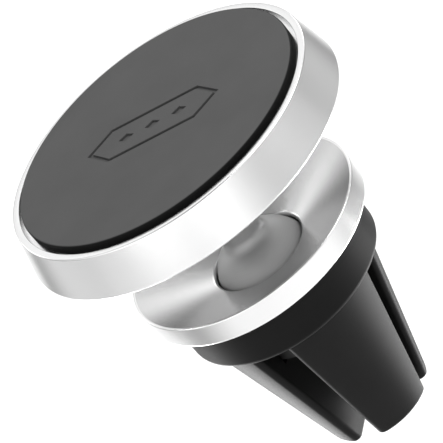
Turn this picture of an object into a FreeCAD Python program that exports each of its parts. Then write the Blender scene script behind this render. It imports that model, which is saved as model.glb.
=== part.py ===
"""Magnetic phone mount that clips onto a car's air-vent louvre, in millimetres.

+Z runs along the mount's axis, from the prong tips (z = 0) to the phone pad.
The origin is the centre of the tip plane. The wide louvre slot lies on the
plane x = 0, and the narrow one on the plane y = 0.
"""
import FreeCAD, Part
import math
import os

# ---- driving dimensions ------------------------------------------------------
TOTAL_H = 46.0              # tip plane to phone pad
AXIS_UP = FreeCAD.Vector(0, 0, 1)
CUT_PAST = 1.0              # how far a cutter reaches past what it cuts

# head
RING_LIP_Z = 45.42          # bright front lip of the ring
RING_BACK_Z = 40.19
RING_BACK_R = 20.0
RING_LIP_R = 18.83
RING_BORE_R = 17.2
RING_BACK_CHAMFER = 0.3
RING_POCKET_R = 18.02
PAD_R = 17.5                # leaves a narrow groove inside the ring's lip
PAD_EDGE_ROUND = 0.25
SHELF_Z = 44.6              # shelf that the pad's adhesive lies on
ADHESIVE_T = 0.15
ADHESIVE_R = 17.3
TRAY_BACK_Z = 41.9
COVER_FRONT_Z = 41.1
COVER_BACK_Z = 40.45
COVER_BOSS_R = 6.5
COVER_BOSS_Z = 40.15
MAGNET_COUNT = 6
MAGNET_R = 4.0
MAGNET_T = 2.0
MAGNET_CIRCLE_R = 10.5
MAGNET_GAP = 0.05
TRAY_POCKET_R = 4.6         # room for the stud's screw and washer
TRAY_POCKET_H = 2.2

# mark in the pad: a long hexagon outline with three diamonds
MARK_LENGTH = 17.0
MARK_WIDTH = 5.8
MARK_LINE = 0.5
MARK_DEPTH = 0.25
MARK_TURN = 9.5
DIAMOND_PITCH = 3.4
DIAMOND_HALF_L = 1.0
DIAMOND_HALF_W = 0.7

# ball stud and its socket
BALL_R = 6.0
BALL_Z = 22.7
NECK_R = 2.4
NECK_FLARE_Z = 36.6
STUD_FLANGE_R = 4.5
STUD_FLANGE_Z = 38.9
STUD_FLANGE_TOP = 40.1
SPIGOT_R = 3.0
SPIGOT_TOP = 41.95
SPIN_GAP = 0.05             # running clearance of the head on the spigot
SCREW_R = 1.5
SCREW_BOTTOM = 34.0
SCREW_HEAD_R = 2.75
SCREW_HEAD_H = 1.6
SCREW_RECESS_ACROSS = 2.5
SCREW_RECESS_DEPTH = 0.9
WASHER_R = 4.0
WASHER_HOLE_R = 1.65
WASHER_T = 0.4
SOCKET_GAP = 0.06           # ball running clearance
SEAT_GAP = 0.04
SEAT_R = 4.6
SEAT_BORE_GAP = 0.05
SEAT_BOTTOM = 16.0
SEAT_TOP = 18.7
CORE_BOTTOM = 15.3
CORE_R = 7.0
THREAD_R = 8.0
THREAD_BOTTOM = 22.6
CORE_TOP = 24.3
FINGER_SLOT_W = 0.9
FINGER_SLOT_BOTTOM = 19.5
FINGER_SLOT_TURNS = (45, 135)

# lock nut: shallow dish, rim band and threaded barrel
NUT_RIM_Z = 29.03
NUT_BAND_Z = 26.17
NUT_RIM_R = 14.4
NUT_LIP_W = 0.3
NUT_HOLE_R = 5.4
NUT_HOLE_Z = 25.41
NUT_HOLE_LOW_R = 5.77       # the hole widens downwards round the ball
NUT_SHOULDER_Z = 24.72
NUT_BARREL_R = 9.6
NUT_BARREL_BOTTOM = 22.85
THREAD_GAP = 0.05
NUT_EDGE = 0.2
NUT_HOLE_EDGE = 0.6
FRICTION_RING_Z = 24.35
FRICTION_RING_T = 0.35
FRICTION_RING_IN_R = 5.9
FRICTION_RING_OUT_R = 7.95

# clip root: hub and rubber collar
HUB_BOTTOM = 21.8
HUB_R = 11.2
HUB_WALL_IN_R = 10.2
HUB_TOP = 25.8
COLLAR_R = 12.4
COLLAR_BOTTOM = 20.2
COLLAR_TOP = 26.05
COLLAR_SKIRT_R = 11.65
COLLAR_ROUND = 0.7
COLLAR_TOP_ROUND = 0.3

# prongs
PRONG_TOP = 21.4
ROOT_Z = COLLAR_BOTTOM      # plane where the root sizes below are taken
ROOT_R = 11.14
TIP_R = 6.58
WIDE_SLOT_ROOT = 3.9
WIDE_SLOT_TIP = 2.3
NARROW_SLOT_ROOT = 2.55
NARROW_SLOT_TIP = 1.2
SKIN_OUTER = 0.9            # rubber over the nylon, outside
SKIN_SLOT = 0.7             # and on the slot faces
SKIN_TIP = 1.2
PRONG_BORE_R = 7.35         # clears the socket core
PRONG_BORE_Z = 14.9
PRONG_EDGE_ROUND = 0.7
PRONG_TIP_SHARE = 0.8       # tip rounding as a share of the edge rounding
PRONG_INNER_ROUND = 0.9
CORE_INNER_ROUND = 0.5
CORE_EDGE_ROUND = 0.3


# ---- helpers -----------------------------------------------------------------
def disc(radius, z_low, z_high):
    """Solid cylinder on the axis between two heights."""
    return Part.makeCylinder(radius, z_high - z_low, FreeCAD.Vector(0, 0, z_low))


def revolve(points):
    """Solid of revolution from an (r, z) outline with straight sides."""
    corners = [FreeCAD.Vector(r, 0, z) for r, z in points]
    outline = Part.makePolygon(corners + [corners[0]])
    return Part.Face(outline).revolve(FreeCAD.Vector(0, 0, 0), AXIS_UP, 360)


def ring_edges(shape, radius, z, tolerance=0.02):
    """Circular edges of a given radius at a given height."""
    found = []
    for edge in shape.Edges:
        if not isinstance(edge.Curve, Part.Circle):
            continue
        same_r = abs(edge.Curve.Radius - radius) < tolerance
        same_z = abs(edge.Curve.Center.z - z) < tolerance
        if same_r and same_z:
            found.append(edge)
    return found


def prism(points, z_low, height):
    """Straight prism from (x, y) corners."""
    corners = [FreeCAD.Vector(x, y, z_low) for x, y in points]
    face = Part.Face(Part.makePolygon(corners + [corners[0]]))
    return face.extrude(FreeCAD.Vector(0, 0, height))


def save(name, shape):
    """Write one sub-part."""
    shape.exportStep("parts/" + name + ".step")


# ---- head --------------------------------------------------------------------
def long_hexagon(half_length, half_width):
    """Corners of a hexagon stretched along X, with pointed ends."""
    shoulder = half_length - half_width
    return [(half_length, 0), (shoulder, half_width), (-shoulder, half_width),
            (-half_length, 0), (-shoulder, -half_width), (shoulder, -half_width)]


def mark_cutter():
    """Outline and diamonds that are sunk into the pad."""
    base = TOTAL_H - MARK_DEPTH
    height = MARK_DEPTH + CUT_PAST
    outer = prism(long_hexagon(MARK_LENGTH / 2, MARK_WIDTH / 2), base, height)
    inner = prism(long_hexagon(MARK_LENGTH / 2 - MARK_LINE * math.sqrt(2),
                               MARK_WIDTH / 2 - MARK_LINE), base, height)
    cutters = [outer.cut(inner)]
    for step in (-1, 0, 1):
        x = step * DIAMOND_PITCH
        corners = [(x + DIAMOND_HALF_L, 0), (x, DIAMOND_HALF_W),
                   (x - DIAMOND_HALF_L, 0), (x, -DIAMOND_HALF_W)]
        cutters.append(prism(corners, base, height))
    cutter = Part.makeCompound(cutters)
    cutter.rotate(FreeCAD.Vector(0, 0, 0), AXIS_UP, MARK_TURN)
    return cutter


def face_pad():
    """Flat rubber disc, standing proud of the ring's lip."""
    bottom = SHELF_Z + ADHESIVE_T
    body = disc(PAD_R, bottom, TOTAL_H)
    body = body.makeFillet(PAD_EDGE_ROUND, ring_edges(body, PAD_R, TOTAL_H))
    return body.cut(mark_cutter())


def head_ring():
    """Flared aluminium ring with a pocket for the pad."""
    chamfer = RING_BACK_CHAMFER
    return revolve([(RING_BORE_R, RING_BACK_Z), (RING_BACK_R - chamfer, RING_BACK_Z),
                    (RING_BACK_R, RING_BACK_Z + chamfer), (RING_LIP_R, RING_LIP_Z),
                    (RING_POCKET_R, RING_LIP_Z), (RING_POCKET_R, SHELF_Z),
                    (RING_BORE_R, SHELF_Z)])


def magnet_spots():
    """Centres of the magnets, evenly spaced round the head."""
    spots = []
    for index in range(MAGNET_COUNT):
        angle = 2 * math.pi * index / MAGNET_COUNT
        spots.append((MAGNET_CIRCLE_R * math.cos(angle), MAGNET_CIRCLE_R * math.sin(angle)))
    return spots


def magnet(x, y):
    """One disc magnet."""
    return Part.makeCylinder(MAGNET_R, MAGNET_T, FreeCAD.Vector(x, y, TRAY_BACK_Z))


def magnet_tray():
    """Nylon disc that holds the magnets behind the pad."""
    tray = disc(RING_BORE_R, TRAY_BACK_Z, SHELF_Z)
    tray = tray.cut(disc(TRAY_POCKET_R, TRAY_BACK_Z, TRAY_BACK_Z + TRAY_POCKET_H))
    for x, y in magnet_spots():
        pocket = Part.makeCylinder(MAGNET_R + MAGNET_GAP, MAGNET_T + MAGNET_GAP,
                                   FreeCAD.Vector(x, y, TRAY_BACK_Z))
        tray = tray.cut(pocket)
    return tray


def steel_backplate():
    """Steel disc that closes the magnets' field and carries the stud."""
    plate = disc(RING_BORE_R, COVER_FRONT_Z, TRAY_BACK_Z)
    return plate.cut(disc(SPIGOT_R + SPIN_GAP, COVER_FRONT_Z, TRAY_BACK_Z))


def back_cover():
    """Plain cover over the back of the head, with a low boss round the stud."""
    cover = disc(RING_BORE_R, COVER_BACK_Z, COVER_FRONT_Z)
    cover = cover.fuse(disc(COVER_BOSS_R, COVER_BOSS_Z, COVER_BACK_Z)).removeSplitter()
    return cover.cut(disc(SPIGOT_R + SPIN_GAP, COVER_BOSS_Z, COVER_FRONT_Z))


# ---- ball stud ---------------------------------------------------------------
def ball_stud():
    """Ball, neck, flange and the spigot that the head turns on."""
    ball = Part.makeSphere(BALL_R, FreeCAD.Vector(0, 0, BALL_Z))
    stem = revolve([(0, BALL_Z), (NECK_R, BALL_Z), (NECK_R, NECK_FLARE_Z),
                    (STUD_FLANGE_R, STUD_FLANGE_Z), (STUD_FLANGE_R, STUD_FLANGE_TOP),
                    (SPIGOT_R, STUD_FLANGE_TOP), (SPIGOT_R, SPIGOT_TOP), (0, SPIGOT_TOP)])
    stud = ball.fuse(stem).removeSplitter()
    return stud.cut(disc(SCREW_R, SCREW_BOTTOM, SPIGOT_TOP))


def spring_washer():
    """Washer between the screw's head and the backplate."""
    washer = disc(WASHER_R, SPIGOT_TOP, SPIGOT_TOP + WASHER_T)
    return washer.cut(disc(WASHER_HOLE_R, SPIGOT_TOP, SPIGOT_TOP + WASHER_T))


def stud_screw():
    """Screw that keeps the head on the stud."""
    head_z = SPIGOT_TOP + WASHER_T
    screw = disc(SCREW_R, SCREW_BOTTOM, head_z).fuse(
        disc(SCREW_HEAD_R, head_z, head_z + SCREW_HEAD_H)).removeSplitter()
    corner_r = SCREW_RECESS_ACROSS / math.sqrt(3)
    corners = []
    for index in range(6):
        angle = math.pi * index / 3
        corners.append((corner_r * math.cos(angle), corner_r * math.sin(angle)))
    recess_z = head_z + SCREW_HEAD_H - SCREW_RECESS_DEPTH
    return screw.cut(prism(corners, recess_z, SCREW_RECESS_DEPTH))


# ---- socket ------------------------------------------------------------------
def ball_seat():
    """Friction cup under the ball."""
    cup = disc(SEAT_R, SEAT_BOTTOM, SEAT_TOP)
    return cup.cut(Part.makeSphere(BALL_R + SEAT_GAP, FreeCAD.Vector(0, 0, BALL_Z)))


def socket_core():
    """Collet: four threaded fingers round the ball, on a closed cup."""
    core = disc(CORE_R, CORE_BOTTOM, THREAD_BOTTOM).fuse(
        disc(THREAD_R, THREAD_BOTTOM, CORE_TOP)).removeSplitter()
    core = core.cut(Part.makeSphere(BALL_R + SOCKET_GAP, FreeCAD.Vector(0, 0, BALL_Z)))
    core = core.cut(disc(SEAT_R + SEAT_BORE_GAP, SEAT_BOTTOM, SEAT_TOP + CUT_PAST))
    reach = 2 * (THREAD_R + CUT_PAST)
    for turn in FINGER_SLOT_TURNS:
        slot = Part.makeBox(reach, FINGER_SLOT_W, CORE_TOP - FINGER_SLOT_BOTTOM + CUT_PAST,
                            FreeCAD.Vector(-reach / 2, -FINGER_SLOT_W / 2, FINGER_SLOT_BOTTOM))
        slot.rotate(FreeCAD.Vector(0, 0, 0), AXIS_UP, turn)
        core = core.cut(slot)
    return core


def friction_ring():
    """Thin nylon ring between the nut and the fingers, round the ball."""
    top = FRICTION_RING_Z + FRICTION_RING_T
    ring = disc(FRICTION_RING_OUT_R, FRICTION_RING_Z, top)
    return ring.cut(disc(FRICTION_RING_IN_R, FRICTION_RING_Z, top))


def lock_nut():
    """Shallow dish with a rim band, on a barrel that screws over the fingers."""
    bore_r = THREAD_R + THREAD_GAP
    nut = revolve([(bore_r, NUT_BARREL_BOTTOM), (NUT_BARREL_R, NUT_BARREL_BOTTOM),
                   (NUT_BARREL_R, NUT_BAND_Z), (NUT_RIM_R, NUT_BAND_Z),
                   (NUT_RIM_R, NUT_RIM_Z), (NUT_RIM_R - NUT_LIP_W, NUT_RIM_Z),
                   (NUT_HOLE_R, NUT_HOLE_Z), (NUT_HOLE_LOW_R, NUT_SHOULDER_Z),
                   (bore_r, NUT_SHOULDER_Z)])
    nut = nut.makeFillet(NUT_EDGE, ring_edges(nut, NUT_RIM_R, NUT_BAND_Z))
    nut = nut.makeFillet(NUT_HOLE_EDGE, ring_edges(nut, NUT_HOLE_R, NUT_HOLE_Z))
    return nut.makeFillet(NUT_LIP_W / 2, ring_edges(nut, NUT_RIM_R, NUT_RIM_Z))


# ---- clip root ---------------------------------------------------------------
def clip_hub():
    """Nylon cup that holds the socket core and the collar."""
    return revolve([(CORE_R, HUB_BOTTOM), (HUB_R, HUB_BOTTOM), (HUB_R, HUB_TOP),
                    (HUB_WALL_IN_R, HUB_TOP), (HUB_WALL_IN_R, THREAD_BOTTOM),
                    (CORE_R, THREAD_BOTTOM)])


def boot_collar():
    """Rubber collar over the hub, hanging as a skirt round the prong roots."""
    collar = revolve([(COLLAR_SKIRT_R, COLLAR_BOTTOM), (COLLAR_R, COLLAR_BOTTOM),
                      (COLLAR_R, COLLAR_TOP), (HUB_R, COLLAR_TOP), (HUB_R, HUB_BOTTOM),
                      (COLLAR_SKIRT_R, HUB_BOTTOM)])
    collar = collar.makeFillet(COLLAR_ROUND, ring_edges(collar, COLLAR_R, COLLAR_BOTTOM))
    return collar.makeFillet(COLLAR_TOP_ROUND, ring_edges(collar, COLLAR_R, COLLAR_TOP))


# ---- prongs ------------------------------------------------------------------
def at_height(root_value, tip_value, z):
    """A prong size at height z, on the straight line from tip to root."""
    return tip_value + (root_value - tip_value) * z / ROOT_Z


def wedge(z_low, outer_inset, slot_inset):
    """Quarter of the tapered cone at +X +Y, bounded by the two slot faces."""
    reach = ROOT_R + 2 * CUT_PAST
    sections = []
    for z in (z_low, PRONG_TOP):
        x_low = at_height(WIDE_SLOT_ROOT, WIDE_SLOT_TIP, z) / 2 + slot_inset
        y_low = at_height(NARROW_SLOT_ROOT, NARROW_SLOT_TIP, z) / 2 + slot_inset
        corners = [(x_low, y_low), (reach, y_low), (reach, reach), (x_low, reach)]
        points = [FreeCAD.Vector(x, y, z) for x, y in corners]
        sections.append(Part.makePolygon(points + [points[0]]))
    block = Part.makeLoft(sections, True, True)
    cone = Part.makeCone(at_height(ROOT_R, TIP_R, z_low) - outer_inset,
                         at_height(ROOT_R, TIP_R, PRONG_TOP) - outer_inset,
                         PRONG_TOP - z_low, FreeCAD.Vector(0, 0, z_low))
    return block.common(cone)


def upright_edges(shape, radius_from, radius_to):
    """Edges that climb the prong, picked by their middle's distance from the axis."""
    found = []
    for edge in shape.Edges:
        middle = edge.BoundBox.Center
        radius = math.hypot(middle.x, middle.y)
        if edge.BoundBox.ZLength > 5 and radius_from < radius < radius_to:
            found.append(edge)
    return found


def rounded_wedge(z_low, outer_inset, slot_inset, inner_round, edge_round):
    """Wedge with a round inner corner and softened outer edges and tip."""
    body = wedge(z_low, outer_inset, slot_inset)
    middle_r = 0.75 * TIP_R     # between the inner corner's edge and the outer ones
    body = body.makeFillet(inner_round, upright_edges(body, 0, middle_r))
    body = body.makeFillet(edge_round, upright_edges(body, middle_r, ROOT_R))
    tip_edges = []
    for edge in body.Edges:
        if edge.BoundBox.ZLength < 0.01 and abs(edge.BoundBox.ZMin - z_low) < 0.01:
            tip_edges.append(edge)
    return body.makeFillet(edge_round * PRONG_TIP_SHARE, tip_edges)


def prongs():
    """(sleeve, core) of each prong, numbered counter-clockwise from the +X +Y quarter."""
    outside = rounded_wedge(0, 0, 0, PRONG_INNER_ROUND, PRONG_EDGE_ROUND)
    inside = rounded_wedge(SKIN_TIP, SKIN_OUTER, SKIN_SLOT, CORE_INNER_ROUND, CORE_EDGE_ROUND)
    bore = disc(PRONG_BORE_R, PRONG_BORE_Z, PRONG_TOP + CUT_PAST)
    first = (outside.cut(inside).cut(bore), inside.cut(bore))
    origin = FreeCAD.Vector(0, 0, 0)
    second = [shape.mirror(origin, FreeCAD.Vector(1, 0, 0)) for shape in first]
    third = [shape.mirror(origin, FreeCAD.Vector(0, 1, 0)) for shape in second]
    fourth = [shape.mirror(origin, FreeCAD.Vector(0, 1, 0)) for shape in first]
    return [first, second, third, fourth]


# ---- all sub-parts -----------------------------------------------------------
os.makedirs("parts", exist_ok=True)

save("face_pad", face_pad())
save("pad_adhesive", disc(ADHESIVE_R, SHELF_Z, SHELF_Z + ADHESIVE_T))
save("head_ring", head_ring())
save("magnet_tray", magnet_tray())
for number, (spot_x, spot_y) in enumerate(magnet_spots(), 1):
    save("magnet_%d" % number, magnet(spot_x, spot_y))
save("steel_backplate", steel_backplate())
save("back_cover", back_cover())
save("ball_stud", ball_stud())
save("spring_washer", spring_washer())
save("stud_screw", stud_screw())
save("ball_seat", ball_seat())
save("socket_core", socket_core())
save("friction_ring", friction_ring())
save("lock_nut", lock_nut())
save("clip_hub", clip_hub())
save("boot_collar", boot_collar())
for number, (sleeve, core) in enumerate(prongs(), 1):
    save("prong_sleeve_%d" % number, sleeve)
    save("prong_core_%d" % number, core)
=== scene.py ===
"""Looks of a magnetic phone mount for a car's air vent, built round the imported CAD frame.

Metres, in the row's own frame: +Z runs along the mount's axis, from the prong tips to the phone pad.
"""

import math

import bmesh
import bpy
from mathutils import Matrix, Vector


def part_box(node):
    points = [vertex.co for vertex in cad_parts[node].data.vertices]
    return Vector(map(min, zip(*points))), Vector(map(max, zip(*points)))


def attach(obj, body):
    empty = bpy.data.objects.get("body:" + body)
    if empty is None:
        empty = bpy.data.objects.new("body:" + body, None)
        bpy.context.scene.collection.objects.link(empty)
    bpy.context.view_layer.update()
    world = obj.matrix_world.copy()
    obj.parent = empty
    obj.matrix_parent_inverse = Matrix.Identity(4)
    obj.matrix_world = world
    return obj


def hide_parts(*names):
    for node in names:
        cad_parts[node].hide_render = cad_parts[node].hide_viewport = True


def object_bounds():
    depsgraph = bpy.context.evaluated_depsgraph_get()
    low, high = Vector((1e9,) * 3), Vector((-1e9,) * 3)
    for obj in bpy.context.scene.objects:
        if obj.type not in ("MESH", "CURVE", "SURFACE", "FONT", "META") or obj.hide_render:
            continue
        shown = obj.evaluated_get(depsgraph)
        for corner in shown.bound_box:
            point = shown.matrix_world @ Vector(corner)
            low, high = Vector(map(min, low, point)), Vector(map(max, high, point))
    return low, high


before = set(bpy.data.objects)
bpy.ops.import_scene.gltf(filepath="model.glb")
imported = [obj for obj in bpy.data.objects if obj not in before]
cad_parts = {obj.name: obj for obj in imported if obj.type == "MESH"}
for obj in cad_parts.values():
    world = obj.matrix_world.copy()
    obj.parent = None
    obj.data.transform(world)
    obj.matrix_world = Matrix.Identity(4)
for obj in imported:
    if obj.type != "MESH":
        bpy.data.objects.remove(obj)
CAD_LOW, CAD_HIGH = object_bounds()

MM = 0.001

# ---- camera ------------------------------------------------------------------
CAMERA_AZIMUTH = 35.1        # degrees from -Y towards +X
CAMERA_ELEVATION = 29.6
CAMERA_ROLL = 39.71
CAMERA_DISTANCE = 272.8 * MM
CAMERA_LENS_MM = 203.2
SENSOR_MM = 36.0
AIM_ASIDE = Vector((-0.63 * MM, -0.79 * MM, 0))
AIM_HEIGHT = 0.6859          # share of the object's height
FLOOR_DROP = 110             # millimetres from the prong tips down to the floor

# ---- light -------------------------------------------------------------------
FLOOR_REACH = 4000           # millimetres from the middle to the floor's edges
# metres aside and to the front over which the floor's painted shade changes
FLOOR_FADE, FLOOR_FRONT = 0.5, 0.15
# (share of the way from -FLOOR_FADE to FLOOR_FADE aside, painted shade of the floor there)
BACK_PAINTED_SHADES = ((0.0, 0.78), (0.26, 0.28), (0.33, 0.80), (0.41, 0.94), (0.58, 0.94), (0.66, 0.56),
               (0.73, 0.22), (0.90, 0.38), (1.0, 0.46))
FRONT_PAINTED_SHADES = ((0.0, 0.90), (0.4, 0.94), (0.6, 0.94), (1.0, 0.62))
# degrees as for the glows below, metres, watts
KEY_AZIMUTH, KEY_ELEVATION, KEY_DISTANCE, KEY_SIZE, KEY_W = 110, 62, 0.9, 0.5, 6.8
GLOW_BASE = 0.05
# azimuth from the camera's side towards its right, elevation, tightness and strength of each glow
GLOWS = ((0, 10, 7, 1.8), (-50, 4, 14, 2.2), (60, 4, 14, 1.4), (-90, 42, 7, 1.3), (90, 42, 7, 0.9),
         (146, 18, 45, 3.0), (214, 18, 45, 2.7), (180, 34, 14, 1.1))
# place and aim as (toward the camera, to its right, up) in millimetres, size in millimetres, watts
KICKERS = {"kick_right": ((-14, 84, -76), (0, 3, 8), 75, 0.14),
           "kick_left": ((-95, -112, -104), (-95, -112, 0), 90, 0.17)}

# ---- sizes worked out from the frame -----------------------------------------
PAD_LOW, PAD_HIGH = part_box("face_pad")
RING_LOW, RING_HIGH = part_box("head_ring")
COVER_LOW, COVER_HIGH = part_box("back_cover")
NUT_LOW, NUT_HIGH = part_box("lock_nut")
STUD_LOW, STUD_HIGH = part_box("ball_stud")
COLLAR_LOW, COLLAR_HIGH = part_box("boot_collar")
TRAY_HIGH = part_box("magnet_tray")[1]
HUB_LOW, HUB_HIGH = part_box("clip_hub")

# ---- sizes that the boxes don't give, in millimetres ---------------------------
RING_LIP_R, RING_POCKET_R, RING_BACK_EDGE = 18.83, 18.02, 0.3
MARK_LENGTH, MARK_WIDTH, MARK_LINE, MARK_DEPTH, MARK_TURN = 17.0, 5.8, 0.5, 0.25, 9.5
MARK_SLOPE = 0.05           # how far the mark's walls lean out from its floor to the pad's face
# distances in from the pad's edge between which the grey face gives way to black, painted shade on the wall
PAD_FACE_END, PAD_WALL_SHADE_START = 0.16, 0.06
DIAMOND_PITCH, DIAMOND_HALF_L, DIAMOND_HALF_W = 3.4, 1.0, 0.7
DIAMOND_STRETCH = 1.4       # how much further a diamond's long corners move than its short ones
COVER_HOLE_R, COVER_BOSS_R, COVER_BACK_Z = 3.05, 6.5, 40.45
BALL_Z = 22.7
NECK_R, NECK_FLARE_Z, NECK_FILLET, FLARE_FILLET = 2.4, 36.6, 1.6, 1.2
FLANGE_R, FLANGE_Z, FLANGE_TOP_Z = 4.5, 38.9, 40.1
SPIGOT_R, SCREW_R, SCREW_BOTTOM_Z = 3.0, 1.5, 34.0
NUT_RIM_R, NUT_BAND_Z, NUT_LIP_W = 14.4, 26.17, 0.3
NUT_HOLE_R, NUT_HOLE_Z, NUT_HOLE_LOW_R, NUT_SHOULDER_Z = 5.4, 25.41, 5.77, 24.72
NUT_BORE_R, NUT_BARREL_R, NUT_HOLE_ROUND = 8.05, 9.6, 0.6
COLLAR_SKIRT_R, COLLAR_LOW_ROUND, COLLAR_TOP_ROUND = 11.65, 0.7, 0.35
PRONG_ROOT_Z, PRONG_TOP_Z = 20.2, 21.4
PRONG_ROOT_R, PRONG_TIP_R = 11.14, 6.58
WIDE_SLOT_ROOT, WIDE_SLOT_TIP = 3.9, 2.3
NARROW_SLOT_ROOT, NARROW_SLOT_TIP = 2.55, 1.2
SKIN_OUTER, SKIN_SLOT, SKIN_TIP = 0.9, 0.7, 1.2
PRONG_BORE_R, BORE_Z = 7.35, 14.9
SKIN_ROUNDS = (0.9, 0.7, 0.55)      # the skin's inner edge, its other two edges, its tip
POCKET_ROUNDS = (0.5, 0.3, 0.24)    # the same for the pocket that holds the nylon core
CUT_PAST = 1                        # how far a cutter reaches past what it cuts

# segments in the ball's outline, a rounded corner, a turned piece, the nut, a prong's edge, a prong's
# outer face and a prong's length
BALL_STEPS, ROUND_STEPS, TURN_STEPS, NUT_STEPS = 48, 6, 192, 256
EDGE_STEPS, FACE_STEPS, PRONG_SPANS = 8, 24, 12
SHARP_ANGLE = math.radians(40)
ON_AXIS = 1e-6              # millimetres from the axis below which an outline's point is a pole


# ---- mesh helpers ------------------------------------------------------------
def rounded(points):
    """(r, z, radius) corners to an (r, z) outline with each corner rounded by an arc."""
    outline = []
    count = len(points)
    for index, (r, z, radius) in enumerate(points):
        here = Vector((r, z))
        before = Vector(points[index - 1][:2]) - here
        after = Vector(points[(index + 1) % count][:2]) - here
        if radius <= 0:
            outline.append(here)
            continue
        half = before.angle(after) / 2
        reach = radius / math.tan(half)
        centre = here + (before.normalized() + after.normalized()).normalized() * (radius / math.sin(half))
        start = here + before.normalized() * reach - centre
        end = here + after.normalized() * reach - centre
        turn = start.angle_signed(end)
        for step in range(ROUND_STEPS + 1):
            swing = Matrix.Rotation(-turn * step / ROUND_STEPS, 2)
            outline.append(centre + swing @ start)
    return outline


def mm(value):
    """A length of the frame in millimetres."""
    return value / MM


def linked(name, data):
    """Puts mesh, light or camera data into the scene as an object."""
    made = bpy.data.objects.new(name, data)
    bpy.context.scene.collection.objects.link(made)
    return made


def mesh_object(name, bm):
    """Turns a bmesh into an object with its faces all looking out."""
    bmesh.ops.recalc_face_normals(bm, faces=bm.faces)
    mesh = bpy.data.meshes.new(name)
    bm.to_mesh(mesh)
    bm.free()
    return linked(name, mesh)


def place_piece(name, bm, material, body, node):
    """Adds a smooth-shaded piece that stands in for a node and moves with its body."""
    piece = mesh_object(name, bm)
    piece.data.polygons.foreach_set("use_smooth", [True] * len(piece.data.polygons))
    piece.data.set_sharp_from_angle(angle=SHARP_ANGLE)
    piece.data.materials.append(material)
    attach(piece, body)
    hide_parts(node)
    return piece


def even_normals(piece):
    """Keeps flat faces looking flat next to rounded edges."""
    modifier = piece.modifiers.new("even_normals", "WEIGHTED_NORMAL")
    modifier.keep_sharp = True
    modifier.weight = 100


def turned(outline, steps=TURN_STEPS):
    """Closed solid of revolution about Z as a bmesh; outline is (r, z) in millimetres."""
    bm = bmesh.new()
    rings = []
    for r, z in outline:
        if r < ON_AXIS:
            rings.append([bm.verts.new((0, 0, z * MM))])
            continue
        ring = []
        for step in range(steps):
            angle = 2 * math.pi * step / steps
            ring.append(bm.verts.new((r * MM * math.cos(angle), r * MM * math.sin(angle), z * MM)))
        rings.append(ring)
    for index, ring in enumerate(rings):
        following = rings[(index + 1) % len(rings)]
        if len(ring) == 1 and len(following) == 1:
            continue
        for step in range(steps):
            a, b = ring[step % len(ring)], ring[(step + 1) % len(ring)]
            c, d = following[(step + 1) % len(following)], following[step % len(following)]
            corners = []
            for vertex in (a, b, c, d):
                if vertex not in corners:
                    corners.append(vertex)
            bm.faces.new(corners)
    return bm


def apply_cut(piece, cutter):
    """Takes cutter away from piece for good, and deletes cutter."""
    modifier = piece.modifiers.new("cut", "BOOLEAN")
    modifier.operation = "DIFFERENCE"
    modifier.solver = "EXACT"
    modifier.object = cutter
    evaluated = piece.evaluated_get(bpy.context.evaluated_depsgraph_get())
    mesh = bpy.data.meshes.new_from_object(evaluated)
    piece.modifiers.clear()
    old = piece.data
    piece.data = mesh
    bpy.data.meshes.remove(old)
    bpy.data.objects.remove(cutter)


# ---- node helpers ------------------------------------------------------------
def new_material(name):
    """Empty node material: (material, nodes, links, shader)."""
    material = bpy.data.materials.new(name)
    material.use_nodes = True
    nodes = material.node_tree.nodes
    links = material.node_tree.links
    return material, nodes, links, nodes["Principled BSDF"]


def noise(nodes, links, scale, detail=3.0, rough=0.5):
    """Noise on object coordinates; scale is cells per metre."""
    place = nodes.new("ShaderNodeTexCoord")
    texture = nodes.new("ShaderNodeTexNoise")
    texture.inputs["Scale"].default_value = scale
    texture.inputs["Detail"].default_value = detail
    texture.inputs["Roughness"].default_value = rough
    links.new(place.outputs["Object"], texture.inputs["Vector"])
    return texture.outputs["Fac"]


def spread(nodes, links, value, low, high, from_low=0.3, from_high=0.7):
    """Maps a 0 to 1 value onto low to high."""
    node = nodes.new("ShaderNodeMapRange")
    node.inputs["From Min"].default_value = from_low
    node.inputs["From Max"].default_value = from_high
    node.inputs["To Min"].default_value = low
    node.inputs["To Max"].default_value = high
    links.new(value, node.inputs["Value"])
    return node.outputs["Result"]


def tint(nodes, links, value, dark, light):
    """Colour between dark and light by a 0 to 1 value."""
    ramp = nodes.new("ShaderNodeValToRGB")
    ramp.color_ramp.elements[0].position = 0.3
    ramp.color_ramp.elements[0].color = (*dark, 1)
    ramp.color_ramp.elements[1].position = 0.7
    ramp.color_ramp.elements[1].color = (*light, 1)
    links.new(value, ramp.inputs["Fac"])
    return ramp.outputs["Color"]


def bump(nodes, links, height, depth_mm, strength):
    """Bump from a height value; depth_mm is the full height of the relief."""
    node = nodes.new("ShaderNodeBump")
    node.inputs["Distance"].default_value = depth_mm * MM
    node.inputs["Strength"].default_value = strength
    links.new(height, node.inputs["Height"])
    return node.outputs["Normal"]


# ---- materials ---------------------------------------------------------------
def radius_of(nodes, links):
    """Distance from the mount's axis, in metres."""
    place = nodes.new("ShaderNodeTexCoord")
    flat = nodes.new("ShaderNodeVectorMath")
    flat.operation = "MULTIPLY"
    flat.inputs[1].default_value = (1, 1, 0)
    links.new(place.outputs["Object"], flat.inputs[0])
    radius = nodes.new("ShaderNodeVectorMath")
    radius.operation = "LENGTH"
    links.new(flat.outputs["Vector"], radius.inputs[0])
    return radius.outputs["Value"]


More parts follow.
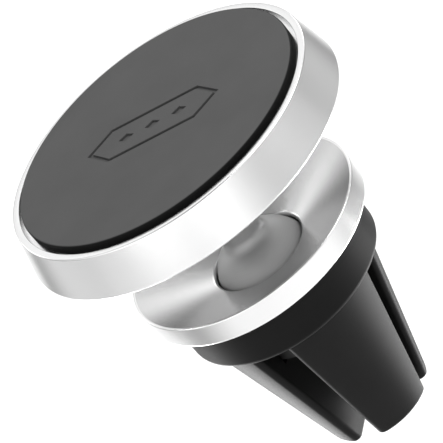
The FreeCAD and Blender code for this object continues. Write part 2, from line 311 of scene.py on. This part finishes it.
def rubber(name, dark, light, roughness, specular, grain_mm):
    """Moulded rubber: fine grain, faint cloudiness and uneven sheen."""
    material, nodes, links, shader = new_material(name)
    cloud = noise(nodes, links, 180, 4)
    grain = noise(nodes, links, 1000 / grain_mm, 2)
    links.new(tint(nodes, links, cloud, dark, light), shader.inputs["Base Color"])
    links.new(spread(nodes, links, grain, roughness - 0.05, roughness + 0.06),
              shader.inputs["Roughness"])
    links.new(bump(nodes, links, grain, 0.02, 0.25), shader.inputs["Normal"])
    shader.inputs["Specular IOR Level"].default_value = specular
    return material


def rubber_with_painted_shade_wall(name, dark, light, roughness, specular, grain_mm):
    """Rubber with a matte grey face, and black painted round its edge as shade on the wall."""
    material = rubber(name, dark, light, roughness, specular, grain_mm)
    nodes, links = material.node_tree.nodes, material.node_tree.links
    shader = nodes["Principled BSDF"]
    face = spread(nodes, links, radius_of(nodes, links), 1, 0,
                  PAD_HIGH.x - PAD_FACE_END * MM, PAD_HIGH.x - PAD_WALL_SHADE_START * MM)
    # painted shade: the pad's outer wall turns black
    blend = nodes.new("ShaderNodeMix")
    blend.data_type = "RGBA"
    blend.inputs["A"].default_value = (*grey(0.003), 1)
    links.new(shader.inputs["Base Color"].links[0].from_socket, blend.inputs["B"])
    links.new(face, blend.inputs["Factor"])
    links.new(blend.outputs["Result"], shader.inputs["Base Color"])
    return material


def satin_metal(name, dark, light, roughness, grain_mm=0.12):
    """Bead-blasted metal with a fine even grain."""
    material, nodes, links, shader = new_material(name)
    cloud = noise(nodes, links, 120, 4)
    grain = noise(nodes, links, 1000 / grain_mm, 2)
    links.new(tint(nodes, links, cloud, dark, light), shader.inputs["Base Color"])
    links.new(spread(nodes, links, grain, roughness - 0.03, roughness + 0.04),
              shader.inputs["Roughness"])
    links.new(bump(nodes, links, grain, 0.01, 0.15), shader.inputs["Normal"])
    shader.inputs["Metallic"].default_value = 1.0
    return material


def turned_metal(name, dark, light, roughness, groove_mm=0.09):
    """Metal with fine circular tool marks about the mount's axis."""
    material, nodes, links, shader = new_material(name)
    place = nodes.new("ShaderNodeTexCoord")
    split = nodes.new("ShaderNodeSeparateXYZ")
    links.new(place.outputs["Object"], split.inputs["Vector"])
    ring = nodes.new("ShaderNodeCombineXYZ")
    links.new(radius_of(nodes, links), ring.inputs["X"])
    links.new(split.outputs["Z"], ring.inputs["Y"])
    marks = nodes.new("ShaderNodeTexNoise")
    marks.inputs["Scale"].default_value = 1000 / groove_mm
    marks.inputs["Detail"].default_value = 2
    links.new(ring.outputs["Vector"], marks.inputs["Vector"])
    cloud = noise(nodes, links, 120, 4)
    links.new(tint(nodes, links, cloud, dark, light), shader.inputs["Base Color"])
    links.new(spread(nodes, links, marks.outputs["Fac"], roughness - 0.03, roughness + 0.04),
              shader.inputs["Roughness"])
    links.new(bump(nodes, links, marks.outputs["Fac"], 0.004, 0.12), shader.inputs["Normal"])
    shader.inputs["Metallic"].default_value = 1.0
    return material


def nylon(name, dark, light, roughness):
    """Moulded nylon with a dry, slightly mottled skin."""
    material, nodes, links, shader = new_material(name)
    cloud = noise(nodes, links, 500, 5)
    links.new(tint(nodes, links, cloud, dark, light), shader.inputs["Base Color"])
    links.new(spread(nodes, links, cloud, roughness - 0.06, roughness + 0.08),
              shader.inputs["Roughness"])
    links.new(bump(nodes, links, cloud, 0.02, 0.2), shader.inputs["Normal"])
    shader.inputs["Specular IOR Level"].default_value = 0.4
    return material


def grey(value, warm=0.0):
    """Grey, a little warmer by the second value."""
    return (value + warm, value, value - warm)


# the pad's outer wall is painted black as shade
PAD_RUBBER = rubber_with_painted_shade_wall("pad_rubber", grey(0.062), grey(0.069), 0.62, 0.12, 0.10)
SKIN_RUBBER = rubber("skin_rubber", grey(0.004), grey(0.0055), 0.46, 0.10, 0.09)
RING_METAL = satin_metal("ring_metal", grey(0.88), grey(0.91), 0.22)
# the nut's metal painted darker, as shade for the dish under the head
DISH_METAL_PAINTED_SHADE = turned_metal("dish_metal_painted_shade", grey(0.55), grey(0.58), 0.2)
NUT_METAL = turned_metal("nut_metal", grey(0.83), grey(0.86), 0.2)
STUD_METAL = turned_metal("stud_metal", grey(0.42), grey(0.45), 0.58)
SCREW_METAL = satin_metal("screw_metal", grey(0.45), grey(0.52), 0.34)
MAGNET_METAL = satin_metal("magnet_metal", grey(0.60, 0.01), grey(0.66, 0.01), 0.22)
PLATE_METAL = satin_metal("plate_metal", grey(0.48), grey(0.56), 0.38)
DARK_NYLON = nylon("dark_nylon", grey(0.014), grey(0.02), 0.5)
COVER_PLASTIC = nylon("cover_plastic", grey(0.30), grey(0.34), 0.48)
PALE_NYLON = nylon("pale_nylon", grey(0.62, 0.01), grey(0.7, 0.01), 0.45)
FOAM = nylon("foam_tape", grey(0.6), grey(0.72), 0.8)


# ---- pieces ------------------------------------------------------------------
def build_ring():
    """Flared ring with a softly rounded lip and back edge."""
    back_r, back_z = mm(RING_HIGH.x), mm(RING_LOW.z)
    lip_z = mm(RING_HIGH.z)
    bore_r, shelf_z = mm(TRAY_HIGH.x), mm(TRAY_HIGH.z)
    outline = rounded([(bore_r, back_z, 0.15), (back_r - RING_BACK_EDGE, back_z, 0.1),
                       (back_r, back_z + RING_BACK_EDGE, 0.1), (RING_LIP_R, lip_z, 0.18),
                       (RING_POCKET_R, lip_z, 0.05), (RING_POCKET_R, shelf_z, 0), (bore_r, shelf_z, 0)])
    even_normals(place_piece("ring", turned(outline), RING_METAL, "head", "head_ring"))


def long_hexagon(half_length, half_width):
    """Corners of a hexagon stretched along X, with pointed ends."""
    shoulder = half_length - half_width
    return [(half_length, 0), (shoulder, half_width), (-shoulder, half_width),
            (-half_length, 0), (-shoulder, -half_width), (shoulder, -half_width)]


def ring_of_verts(bm, points, z):
    """Vertices at (x, y) points in millimetres, turned by the mark's angle."""
    swing = Matrix.Rotation(math.radians(MARK_TURN), 2)
    made = []
    for point in points:
        x, y = swing @ Vector(point)
        made.append(bm.verts.new((x * MM, y * MM, z * MM)))
    return made


def skin_between(bm, ring_a, ring_b):
    """Quads between two rings with the same number of vertices."""
    count = len(ring_a)
    for step in range(count):
        following = (step + 1) % count
        bm.faces.new((ring_a[step], ring_a[following], ring_b[following], ring_b[step]))


def mark_cutter(top_z):
    """Sloping-sided cutters for the sunk outline and diamonds."""
    bm = bmesh.new()
    floor_z, over_z = top_z - MARK_DEPTH, top_z + MARK_DEPTH
    slope = MARK_SLOPE

    def hexagon(inset):
        return long_hexagon(MARK_LENGTH / 2 - inset * math.sqrt(2), MARK_WIDTH / 2 - inset)

    loops = [ring_of_verts(bm, hexagon(inset), z) for inset, z in
             ((-slope, over_z), (slope, floor_z), (MARK_LINE - slope, floor_z), (MARK_LINE + slope, over_z))]
    for index, loop in enumerate(loops):
        skin_between(bm, loop, loops[(index + 1) % len(loops)])
    for step in (-1, 0, 1):
        x = step * DIAMOND_PITCH

        def diamond(grow):
            long, wide = DIAMOND_HALF_L + grow * DIAMOND_STRETCH, DIAMOND_HALF_W + grow
            return [(x + long, 0), (x, wide), (x - long, 0), (x, -wide)]

        low, high = ring_of_verts(bm, diamond(-slope), floor_z), ring_of_verts(bm, diamond(slope), over_z)
        skin_between(bm, low, high)
        bm.faces.new(low)
        bm.faces.new(high)
    return mesh_object("mark_cutter", bm)


def build_pad():
    """Rubber pad with a soft edge and a sunk mark."""
    low_z, top_z, pad_r = mm(PAD_LOW.z), mm(PAD_HIGH.z), mm(PAD_HIGH.x)
    outline = rounded([(0, low_z, 0), (pad_r, low_z, 0.1), (pad_r, top_z, 0.25), (0, top_z, 0)])
    piece = place_piece("pad", turned(outline), PAD_RUBBER, "head", "face_pad")
    apply_cut(piece, mark_cutter(top_z))
    piece.data.set_sharp_from_angle(angle=SHARP_ANGLE)
    even_normals(piece)


def build_cover():
    """Back cover with softened rims round the boss and the edge."""
    r, low_z, high_z = mm(COVER_HIGH.x), mm(COVER_LOW.z), mm(COVER_HIGH.z)
    outline = rounded([(COVER_HOLE_R, low_z, 0.06), (COVER_BOSS_R, low_z, 0.12),
                       (COVER_BOSS_R, COVER_BACK_Z, 0.1), (r, COVER_BACK_Z, 0.08), (r, high_z, 0),
                       (COVER_HOLE_R, high_z, 0)])
    even_normals(place_piece("cover", turned(outline), COVER_PLASTIC, "head", "back_cover"))


def build_stud():
    """Ball, neck with fillets, flared flange and spigot, drilled for the screw."""
    top_z = mm(STUD_HIGH.z)
    ball_r = BALL_Z - mm(STUD_LOW.z)
    climb = math.acos((NECK_R + NECK_FILLET) / (ball_r + NECK_FILLET))
    outline = []
    for step in range(BALL_STEPS + 1):
        angle = -math.pi / 2 + (climb + math.pi / 2) * step / BALL_STEPS
        outline.append((ball_r * math.cos(angle), BALL_Z + ball_r * math.sin(angle)))
    fillet_z = BALL_Z + (ball_r + NECK_FILLET) * math.sin(climb)
    for step in range(1, ROUND_STEPS + 1):
        angle = math.pi + climb - climb * step / ROUND_STEPS
        outline.append((NECK_R + NECK_FILLET + NECK_FILLET * math.cos(angle),
                        fillet_z + NECK_FILLET * math.sin(angle)))
    stem = rounded([(0, fillet_z, 0), (NECK_R, fillet_z, 0), (NECK_R, NECK_FLARE_Z, FLARE_FILLET),
                    (FLANGE_R, FLANGE_Z, 0.2), (FLANGE_R, FLANGE_TOP_Z, 0.08), (SPIGOT_R, FLANGE_TOP_Z, 0),
                    (SPIGOT_R, top_z, 0.1), (SCREW_R, top_z, 0.06), (SCREW_R, SCREW_BOTTOM_Z, 0),
                    (0, SCREW_BOTTOM_Z, 0)])
    outline += stem[2:]
    place_piece("stud", turned(outline), STUD_METAL, "stud", "ball_stud")


def build_nut():
    """Dished nut: soft rim, fine lip, rounded hole edge, plain barrel, and the metal painted darker in the
    dish as shade.
    """
    rim_z, low_z = mm(NUT_HIGH.z), mm(NUT_LOW.z)
    dish_r = NUT_RIM_R - NUT_LIP_W
    outline = rounded([(NUT_BORE_R, low_z, 0.1), (NUT_BARREL_R, low_z, 0.25),
                       (NUT_BARREL_R, NUT_BAND_Z, 0.3), (NUT_RIM_R, NUT_BAND_Z, 0.28),
                       (NUT_RIM_R, rim_z, 0.14), (dish_r, rim_z, 0.1),
                       (NUT_HOLE_R, NUT_HOLE_Z, NUT_HOLE_ROUND), (NUT_HOLE_LOW_R, NUT_SHOULDER_Z, 0.04),
                       (NUT_BORE_R, NUT_SHOULDER_Z, 0)])
    piece = place_piece("nut", turned(outline, NUT_STEPS), NUT_METAL, "nut", "lock_nut")
    # painted shade: the faces of the dish take the darker metal
    piece.data.materials.append(DISH_METAL_PAINTED_SHADE)
    for polygon in piece.data.polygons:
        centre = polygon.center / MM
        if centre.xy.length < dish_r and centre.z > NUT_SHOULDER_Z:
            polygon.material_index = 1
    even_normals(piece)


def build_collar():
    """Rubber collar with a soft lower edge."""
    r, low_z, top_z = mm(COLLAR_HIGH.x), mm(COLLAR_LOW.z), mm(COLLAR_HIGH.z)
    hub_r, hub_z = mm(HUB_HIGH.x), mm(HUB_LOW.z)
    outline = rounded([(COLLAR_SKIRT_R, low_z, 0.08), (r, low_z, COLLAR_LOW_ROUND),
                       (r, top_z, COLLAR_TOP_ROUND), (hub_r, top_z, 0.1), (hub_r, hub_z, 0),
                       (COLLAR_SKIRT_R, hub_z, 0)])
    even_normals(place_piece("collar", turned(outline), SKIN_RUBBER, "clip", "boot_collar"))


def prong_section(z, slot_inset, outer_inset, side, inner_round, edge_round):
    """Outline of a +X prong at one height, as (x, y) points in millimetres; side is the sign of its Y."""
    share = z / PRONG_ROOT_Z
    near_x = (WIDE_SLOT_TIP + (WIDE_SLOT_ROOT - WIDE_SLOT_TIP) * share) / 2 + slot_inset
    near_y = (NARROW_SLOT_TIP + (NARROW_SLOT_ROOT - NARROW_SLOT_TIP) * share) / 2 + slot_inset
    radius = PRONG_TIP_R + (PRONG_ROOT_R - PRONG_TIP_R) * share - outer_inset
    inner = Vector((near_x + inner_round, near_y + inner_round))
    core_r = radius - edge_round
    by_narrow = Vector((math.sqrt(core_r ** 2 - (near_y + edge_round) ** 2), near_y + edge_round))
    by_wide = Vector((near_x + edge_round, math.sqrt(core_r ** 2 - (near_x + edge_round) ** 2)))
    turn_narrow = math.atan2(by_narrow.y, by_narrow.x)
    turn_wide = math.atan2(by_wide.y, by_wide.x)
    origin = Vector((0, 0))
    arcs = [(inner, inner_round, math.pi, 1.5 * math.pi, EDGE_STEPS),
            (by_narrow, edge_round, -math.pi / 2, turn_narrow, EDGE_STEPS),
            (origin, radius, turn_narrow, turn_wide, FACE_STEPS),
            (by_wide, edge_round, turn_wide, math.pi, EDGE_STEPS)]
    points = []
    for centre, arc_r, start, end, steps in arcs:
        for step in range(steps + 1):
            angle = start + (end - start) * step / steps
            if centre is origin and step in (0, steps):
                continue
            points.append((centre.x + arc_r * math.cos(angle), side * (centre.y + arc_r * math.sin(angle))))
    return points


def prong_solid(low_z, high_z, slot_inset, outer_inset, side, mirror, rounds):
    """Closed tapered prong with a rounded tip; mirror is 1 for +X and -1 for -X."""
    inner_round, edge_round, tip_round = rounds
    levels = []
    for step in range(ROUND_STEPS + 1):
        swing = 0.5 * math.pi * step / ROUND_STEPS
        levels.append((low_z + tip_round * (1 - math.cos(swing)), tip_round * (1 - math.sin(swing))))
    first = levels[-1][0]
    levels += [(first + (high_z - first) * step / PRONG_SPANS, 0) for step in range(1, PRONG_SPANS + 1)]
    bm = bmesh.new()
    rings = []
    for z, inset in levels:
        section = prong_section(z, slot_inset + inset, outer_inset + inset, side, inner_round, edge_round)
        rings.append([bm.verts.new((mirror * x * MM, y * MM, z * MM)) for x, y in section])
    for below, above in zip(rings, rings[1:]):
        skin_between(bm, below, above)
    bm.faces.new(rings[0])
    bm.faces.new(rings[-1])
    return bm


def build_prongs():
    """Four rubber sleeves round the frame's nylon cores."""
    quarters = {1: (1, 1), 2: (-1, 1), 3: (-1, -1), 4: (1, -1)}
    past_z = PRONG_TOP_Z + CUT_PAST
    for number, (mirror, side) in quarters.items():
        bm = prong_solid(0, PRONG_TOP_Z, 0, 0, side, mirror, SKIN_ROUNDS)
        piece = place_piece("prong_skin_%d" % number, bm, SKIN_RUBBER,
                            "prong_%d" % number, "prong_sleeve_%d" % number)
        pocket = prong_solid(SKIN_TIP, past_z, SKIN_SLOT, SKIN_OUTER, side, mirror, POCKET_ROUNDS)
        apply_cut(piece, mesh_object("pocket", pocket))
        bore = turned([(0, BORE_Z), (PRONG_BORE_R, BORE_Z), (PRONG_BORE_R, past_z), (0, past_z)])
        apply_cut(piece, mesh_object("bore", bore))
        piece.data.set_sharp_from_angle(angle=SHARP_ANGLE)
        even_normals(piece)


build_ring()
build_pad()
build_cover()
build_stud()
build_nut()
build_collar()
build_prongs()

# ---- the frame's own nodes ---------------------------------------------------
NODE_MATERIALS = {
    "magnet_tray": DARK_NYLON, "steel_backplate": PLATE_METAL, "pad_adhesive": FOAM,
    "spring_washer": SCREW_METAL, "stud_screw": SCREW_METAL, "ball_seat": PALE_NYLON,
    "socket_core": DARK_NYLON, "friction_ring": PALE_NYLON, "clip_hub": DARK_NYLON}
NODE_MATERIALS.update({"magnet_%d" % number: MAGNET_METAL for number in range(1, 7)})
NODE_MATERIALS.update({"prong_core_%d" % number: DARK_NYLON for number in range(1, 5)})
for name, material in NODE_MATERIALS.items():
    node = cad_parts[name]
    node.data.materials.clear()
    node.data.materials.append(material)


# ---- camera, light and floor -------------------------------------------------
def make_camera():
    """Camera off the -Y side towards +X, looking down on the pad, and rolled."""
    azimuth, elevation = math.radians(CAMERA_AZIMUTH), math.radians(CAMERA_ELEVATION)
    back = Vector((math.sin(azimuth) * math.cos(elevation), -math.cos(azimuth) * math.cos(elevation),
                   math.sin(elevation)))
    aim = (CAD_LOW + CAD_HIGH) / 2 + AIM_ASIDE
    aim.z = CAD_LOW.z + AIM_HEIGHT * (CAD_HIGH.z - CAD_LOW.z)
    data = bpy.data.cameras.new("camera")
    data.lens = CAMERA_LENS_MM
    data.sensor_width = SENSOR_MM
    data.clip_start = 0.01
    data.clip_end = 10
    camera = linked("camera", data)
    level = (-back).to_track_quat("-Z", "Y").to_matrix().to_4x4()
    roll = Matrix.Rotation(math.radians(-CAMERA_ROLL), 4, "Z")
    camera.matrix_world = Matrix.Translation(aim + back * CAMERA_DISTANCE) @ level @ roll
    bpy.context.scene.camera = camera


def area_light(name, place, aim, size, power):
    """Square softbox at place, facing aim."""
    data = bpy.data.lights.new(name, "AREA")
    data.shape = "SQUARE"
    data.size = size
    data.energy = power
    light = linked(name, data)
    light.location = place
    light.rotation_euler = (aim - place).to_track_quat("-Z", "Y").to_euler()


def studio(toward, aside, up):
    """Place in the studio, in millimetres from the object's axis: toward the camera, to its right, up."""
    azimuth = math.radians(CAMERA_AZIMUTH)
    front = Vector((math.sin(azimuth), -math.cos(azimuth), 0))
    right = Vector((math.cos(azimuth), math.sin(azimuth), 0))
    return (front * toward + right * aside + Vector((0, 0, up))) * MM


def along(nodes, links, direction, low, high):
    """0 to 1 as the place runs from low to high metres along a direction."""
    place = nodes.new("ShaderNodeTexCoord")
    measure = nodes.new("ShaderNodeVectorMath")
    measure.operation = "DOT_PRODUCT"
    measure.inputs[1].default_value = direction
    links.new(place.outputs["Object"], measure.inputs[0])
    return spread(nodes, links, measure.outputs["Value"], 0, 1, low, high)


def shade_ramp(nodes, links, value, shades):
    """Grey that follows (place, shade) stops."""
    ramp = nodes.new("ShaderNodeValToRGB")
    ramp.color_ramp.interpolation = "EASE"
    stops = ramp.color_ramp.elements
    stops.remove(stops[1])
    for index, (where, shade) in enumerate(shades):
        stop = stops.new(where) if index else stops[0]
        stop.position = where
        stop.color = (*grey(shade), 1)
    links.new(value, ramp.inputs["Fac"])
    return ramp.outputs["Color"]


def mixed(nodes, links, blend_type, factor, color_a, color_b):
    """Two colours mixed."""
    node = nodes.new("ShaderNodeMix")
    node.data_type = "RGBA"
    node.blend_type = blend_type
    links.new(factor, node.inputs["Factor"])
    links.new(color_a, node.inputs["A"])
    links.new(color_b, node.inputs["B"])
    return node.outputs["Result"]


def floor_material():
    """Matte pale paper with painted shade that changes aside in one way behind the object and in another
    before it.
    """
    material, nodes, links, shader = new_material("pale_floor_painted_shade")
    aside = along(nodes, links, studio(0, 1 / MM, 0), -FLOOR_FADE, FLOOR_FADE)
    front = along(nodes, links, studio(1 / MM, 0, 0), 0, FLOOR_FRONT)
    # painted shade: the floor darkens in bands out to its sides
    shade = mixed(nodes, links, "MIX", front, shade_ramp(nodes, links, aside, BACK_PAINTED_SHADES),
                  shade_ramp(nodes, links, aside, FRONT_PAINTED_SHADES))
    cloud = noise(nodes, links, 3, 3)
    links.new(mixed(nodes, links, "MULTIPLY", spread(nodes, links, cloud, 0.01, 0.03), shade,
                    tint(nodes, links, cloud, grey(0.5), grey(1))), shader.inputs["Base Color"])
    shader.inputs["Roughness"].default_value = 0.9
    shader.inputs["Specular IOR Level"].default_value = 0.1
    return material


def make_floor():
    """Wide level sheet below the object."""
    bm = bmesh.new()
    corners = ((-1, -1), (1, -1), (1, 1), (-1, 1))
    bm.faces.new([bm.verts.new(studio(x * FLOOR_REACH, y * FLOOR_REACH, -FLOOR_DROP)) for x, y in corners])
    mesh = bpy.data.meshes.new("floor")
    bm.to_mesh(mesh)
    bm.free()
    floor = linked("floor", mesh)
    floor.data.materials.append(floor_material())


def sky_point(azimuth, elevation):
    """Unit direction; the azimuth is in degrees from the camera's side towards its right."""
    turn, rise = math.radians(azimuth), math.radians(elevation)
    return studio(math.cos(turn) * math.cos(rise), math.sin(turn) * math.cos(rise), math.sin(rise)) / MM


def make_surround():
    """Soft patches of pale light round the horizon, added up."""
    world = bpy.data.worlds.new("surround")
    bpy.context.scene.world = world
    world.use_nodes = True
    nodes, links = world.node_tree.nodes, world.node_tree.links
    place = nodes.new("ShaderNodeTexCoord")
    total = nodes.new("ShaderNodeValue")
    total.outputs["Value"].default_value = GLOW_BASE
    total = total.outputs["Value"]
    for azimuth, elevation, tightness, strength in GLOWS:
        toward = nodes.new("ShaderNodeVectorMath")
        toward.operation = "DOT_PRODUCT"
        toward.inputs[1].default_value = sky_point(azimuth, elevation)
        links.new(place.outputs["Generated"], toward.inputs[0])
        fall = nodes.new("ShaderNodeMath")
        fall.operation = "MULTIPLY_ADD"
        fall.inputs[1].default_value = tightness
        fall.inputs[2].default_value = -tightness
        links.new(toward.outputs["Value"], fall.inputs[0])
        patch = nodes.new("ShaderNodeMath")
        patch.operation = "EXPONENT"
        links.new(fall.outputs["Value"], patch.inputs[0])
        summed = nodes.new("ShaderNodeMath")
        summed.operation = "MULTIPLY_ADD"
        summed.inputs[1].default_value = strength
        links.new(patch.outputs["Value"], summed.inputs[0])
        links.new(total, summed.inputs[2])
        total = summed.outputs["Value"]
    background = nodes["Background"]
    background.inputs["Color"].default_value = (1, 1, 1, 1)
    links.new(total, background.inputs["Strength"])


def make_stage():
    """Pale floor with painted shade to its sides, a key light high on the right, two low kickers, and the
    surround.
    """
    make_floor()
    middle = (CAD_LOW + CAD_HIGH) / 2
    key = sky_point(KEY_AZIMUTH, KEY_ELEVATION) * KEY_DISTANCE
    area_light("key", key, middle, KEY_SIZE, KEY_W)
    for name, (place, aim, size, power) in KICKERS.items():
        area_light(name, studio(*place), studio(*aim), size * MM, power)
    make_surround()
    bpy.context.scene.view_settings.view_transform = "Standard"


make_camera()
make_stage()
